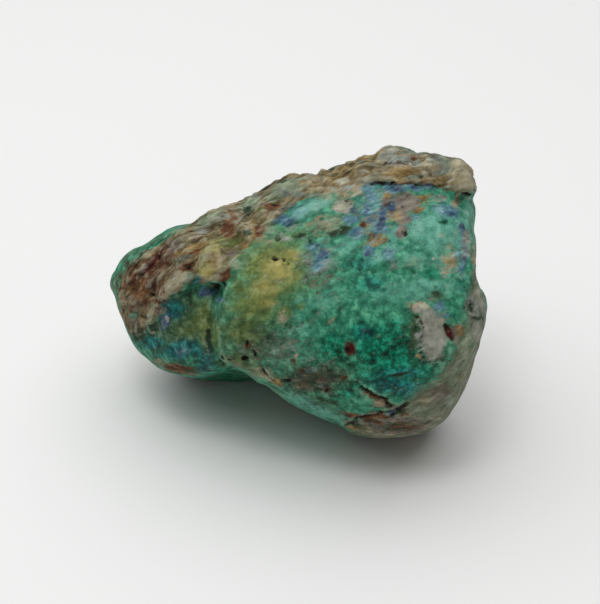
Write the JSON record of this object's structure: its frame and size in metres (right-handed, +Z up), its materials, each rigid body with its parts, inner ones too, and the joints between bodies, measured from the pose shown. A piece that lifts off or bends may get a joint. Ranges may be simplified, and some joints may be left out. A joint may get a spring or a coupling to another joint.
{
  "type": "azurite and malachite specimen",
  "caption": "Rolled, pear-shaped lump of copper ore: a smooth green and blue face under a rough brown crusted rim, with a small lobe at one end.",
  "frame": {"origin": "on the surface the stone rests on, under the middle of its box", "axes": "+X along the stone to its fat end, +Z up, so the rough rim is on top and the smooth face looks towards -Y"},
  "size_m": [0.0636, 0.0427, 0.0446],
  "materials": {
    "ore": "rolled and worn, semi-matt, with pitted crust"
  },
  "bodies": {
    "root": {"specimen": "ore"}
  },
  "joints": []
}
